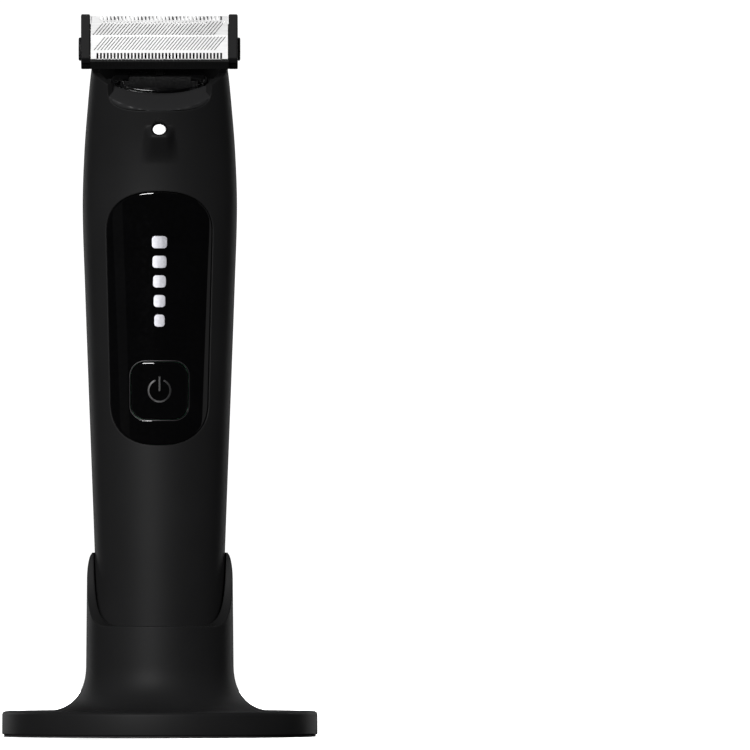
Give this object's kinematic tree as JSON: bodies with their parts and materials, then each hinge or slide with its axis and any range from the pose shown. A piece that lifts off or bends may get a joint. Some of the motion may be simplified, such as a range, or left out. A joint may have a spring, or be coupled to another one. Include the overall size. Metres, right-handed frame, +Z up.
{
  "type": "body groomer with stand",
  "caption": "Cordless body groomer with a T-shaped floating cutting head, torch, gloss panel and ribbed grip, standing in a weighted cradle stand.",
  "frame": {"origin": "centre of the stand's underside, on the surface it stands on", "axes": "+Z up along the handle, -Y towards the front with the panel and button, +X to the right seen from the front"},
  "size_m": [0.079, 0.079, 0.1804],
  "materials": {
    "matte_black": "fine matte texture",
    "gloss_black": "polished",
    "rubber": "matte",
    "steel": "plain",
    "guard_metal": "bright satin",
    "blade_steel": "dark satin",
    "silver_mark": "printed silver",
    "board": "solder mask",
    "chip": "moulded",
    "cell_wrap": "shrink sleeve",
    "inner_plastic": "moulded",
    "white_plastic": "moulded acetal",
    "lens": "frosted"
  },
  "bodies": {
    "stand": {"stand_body": "matte_black", "stand_weight": "steel", "stand_base_plate": "matte_black", "stand_screws": "steel", "stand_foot_pad": "rubber"},
    "handle": {"front_shell": "matte_black", "rear_shell": "matte_black", "neck_collar": "matte_black", "bottom_cap": "matte_black", "cap_seal": "rubber", "usb_socket": "steel", "display_panel": "gloss_black", "level_bars": "silver_mark", "display_board": "board", "tact_switch": "steel", "circuit_board": "board", "board_parts": "chip", "battery_cell": "cell_wrap", "battery_tabs": "steel", "chassis": "inner_plastic", "chassis_screws": "steel", "motor_can": "steel", "shaft_seal": "rubber", "light_lens": "lens", "light_board": "board", "tongue_pin": "steel", "release_spring": "steel"},
    "button": {"power_button": "gloss_black", "power_symbol": "gloss_black"},
    "tongue": {"release_tongue": "matte_black"},
    "rotor": {"motor_shaft": "steel", "eccentric_cam": "matte_black"},
    "carrier": {"head_carrier": "gloss_black", "pivot_pins": "steel", "lever_pin": "steel", "float_spring": "steel"},
    "lever": {"drive_lever": "white_plastic"},
    "head": {"head_frame": "matte_black", "end_cap_left": "matte_black", "end_cap_right": "matte_black", "axle_caps": "gloss_black", "guard_plate": "guard_metal", "comb_bar": "matte_black"},
    "cutter": {"moving_blade": "blade_steel", "blade_carrier": "white_plastic", "blade_springs": "steel"}
  },
  "joints": [
    {"name": "groomer_lift", "type": "slide", "parent": "stand", "child": "handle", "axis": [0, 0, 1], "range_m": [0, 0.06]},
    {"name": "power_press", "type": "slide", "parent": "handle", "child": "button", "axis": [0, 1, 0], "range_m": [0, 0.0004], "stiffness_N_per_m": 800},
    {"name": "release_press", "type": "hinge", "parent": "handle", "child": "tongue", "pos_m": [0, 0.0041, 0.154], "axis": [1, 0, 0], "range_deg": [0, 4], "stiffness_Nm_per_rad": 0.3},
    {"name": "motor_spin", "type": "hinge", "parent": "handle", "child": "rotor", "pos_m": [0, -0.0025, 0.139], "axis": [0, 0, 1], "continuous": true},
    {"name": "head_pull", "type": "slide", "parent": "handle", "child": "carrier", "axis": [0, 0, 1], "range_m": [0, 0.025]},
    {"name": "lever_swing", "type": "hinge", "parent": "carrier", "child": "lever", "pos_m": [0, -0.0102, 0.161], "axis": [0, 1, 0], "range_deg": [-3.7, 3.7]},
    {"name": "head_float", "type": "hinge", "parent": "carrier", "child": "head", "pos_m": [0, -0.0155, 0.17175], "axis": [1, 0, 0], "range_deg": [-12, 6], "stiffness_Nm_per_rad": 0.05},
    {"name": "blade_stroke", "type": "slide", "parent": "head", "child": "cutter", "axis": [1, 0, 0], "range_m": [-0.00069, 0.00069]}
  ],
  "couplings": [
    {"joint": "lever_swing", "follows": "blade_stroke", "rad_per_m": 93.023}
  ]
}
